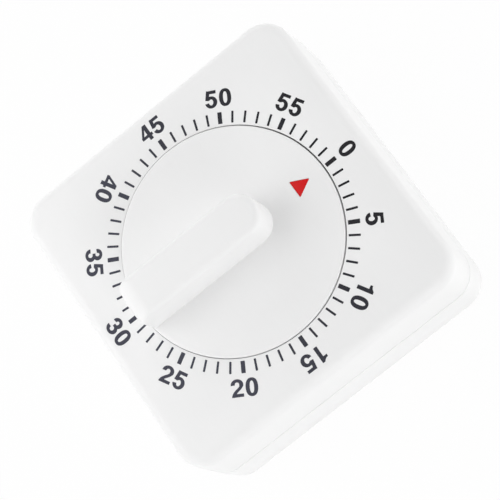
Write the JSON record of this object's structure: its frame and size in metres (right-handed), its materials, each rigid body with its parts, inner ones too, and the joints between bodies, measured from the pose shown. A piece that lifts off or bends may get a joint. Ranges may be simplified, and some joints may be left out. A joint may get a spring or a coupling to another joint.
{
  "type": "mechanical kitchen timer",
  "caption": "Square white kitchen timer with a minute dial, a round knob with a half-bar grip, and a spring-driven movement that rings a bell",
  "frame": {"origin": "middle of the case's back, on the surface it rests on", "axes": "+Z out of the dial along the knob's axis, +Y to the dial's 0 mark, +X to its 15 mark"},
  "size_m": [0.07, 0.07, 0.037],
  "materials": {
    "white_plastic": "satin",
    "red_print": "printed",
    "screw_steel": "zinc plated",
    "cut_steel": "fine turned",
    "dark_steel": "hardened",
    "spring_steel": "blued",
    "brass": "rolled sheet",
    "bell_steel": "nickel plated"
  },
  "bodies": {
    "case": {"front_shell": "white_plastic", "rear_cover": "white_plastic", "cover_screws": "screw_steel", "front_plate": "brass", "rear_plate": "brass", "frame_pillars": "screw_steel", "plate_screws": "screw_steel", "movement_screws": "screw_steel", "mainspring": "spring_steel", "spring_stud": "cut_steel", "release_spring": "spring_steel", "bell": "bell_steel", "bell_screw": "brass"},
    "knob": {"knob": "white_plastic", "pointer_mark": "red_print", "main_arbor": "cut_steel", "ratchet_wheel": "cut_steel", "release_cam": "dark_steel"},
    "main_wheel": {"main_wheel": "brass", "click_rivets": "brass", "click_spring_a": "spring_steel", "click_spring_b": "spring_steel"},
    "click_a": {"click_pawl_a": "cut_steel"},
    "click_b": {"click_pawl_b": "cut_steel"},
    "second_wheel": {"second_pinion": "cut_steel", "second_wheel": "brass"},
    "third_wheel": {"third_pinion": "cut_steel", "third_wheel": "brass", "star_wheel": "brass"},
    "escape_wheel": {"escape_pinion": "cut_steel", "escape_wheel": "brass"},
    "release_lever": {"release_lever": "cut_steel", "anchor_stud": "brass", "anchor_clip": "dark_steel", "hammer_spring": "spring_steel"},
    "anchor": {"anchor": "cut_steel", "anchor_weights": "brass", "pallet_pins": "dark_steel"},
    "hammer": {"hammer_arbor": "cut_steel", "hammer_tail": "cut_steel", "hammer_arm": "cut_steel", "hammer_head": "brass"}
  },
  "joints": [
    {"name": "knob_turn", "type": "hinge", "parent": "case", "child": "knob", "pos_m": [0, 0, 0.0272], "axis": [0, 0, -1], "range_deg": [0, 348], "deforming": ["mainspring"]},
    {"name": "main_wheel_turn", "type": "hinge", "parent": "case", "child": "main_wheel", "pos_m": [0, 0, 0.0132], "axis": [0, 0, -1], "range_deg": [0, 348]},
    {"name": "click_a_swing", "type": "hinge", "parent": "main_wheel", "child": "click_a", "pos_m": [0.00509, 0.00509, 0.01425], "axis": [0, 0, 1], "range_deg": [0, 12], "stiffness_Nm_per_rad": 0.00001, "deforming": ["click_spring_a"]},
    {"name": "click_b_swing", "type": "hinge", "parent": "main_wheel", "child": "click_b", "pos_m": [-0.00509, -0.00509, 0.01425], "axis": [0, 0, 1], "range_deg": [0, 12], "stiffness_Nm_per_rad": 0.00001, "deforming": ["click_spring_b"]},
    {"name": "second_wheel_turn", "type": "hinge", "parent": "case", "child": "second_wheel", "pos_m": [-0.01551, -0.00274, 0.012], "axis": [0, 0, -1], "range_deg": [-2784, 0]},
    {"name": "third_wheel_turn", "type": "hinge", "parent": "case", "child": "third_wheel", "pos_m": [-0.01258, -0.01369, 0.0156], "axis": [0, 0, -1], "range_deg": [0, 22272]},
    {"name": "escape_wheel_turn", "type": "hinge", "parent": "case", "child": "escape_wheel", "pos_m": [-0.00423, -0.01706, 0.0172], "axis": [0, 0, -1], "range_deg": [-155904, 0]},
    {"name": "release_lever_swing", "type": "hinge", "parent": "case", "child": "release_lever", "pos_m": [0.00595, -0.01561, 0.0193], "axis": [0, 0, -1], "range_deg": [-3.5, 0], "stiffness_Nm_per_rad": 0.0001, "deforming": ["release_spring"]},
    {"name": "anchor_swing", "type": "hinge", "parent": "release_lever", "child": "anchor", "pos_m": [0.00049, -0.02147, 0.0182], "axis": [0, 0, 1], "range_deg": [-6, 6]},
    {"name": "hammer_swing", "type": "hinge", "parent": "release_lever", "child": "hammer", "pos_m": [0.00595, -0.01561, 0.0143], "axis": [0, 0, -1], "range_deg": [0, 8], "stiffness_Nm_per_rad": 0.002, "deforming": ["hammer_spring"]}
  ],
  "couplings": [
    {"joint": "main_wheel_turn", "follows": "knob_turn", "ratio": 1},
    {"joint": "second_wheel_turn", "follows": "knob_turn", "ratio": -8},
    {"joint": "third_wheel_turn", "follows": "knob_turn", "ratio": 64},
    {"joint": "escape_wheel_turn", "follows": "knob_turn", "ratio": -448}
  ]
}
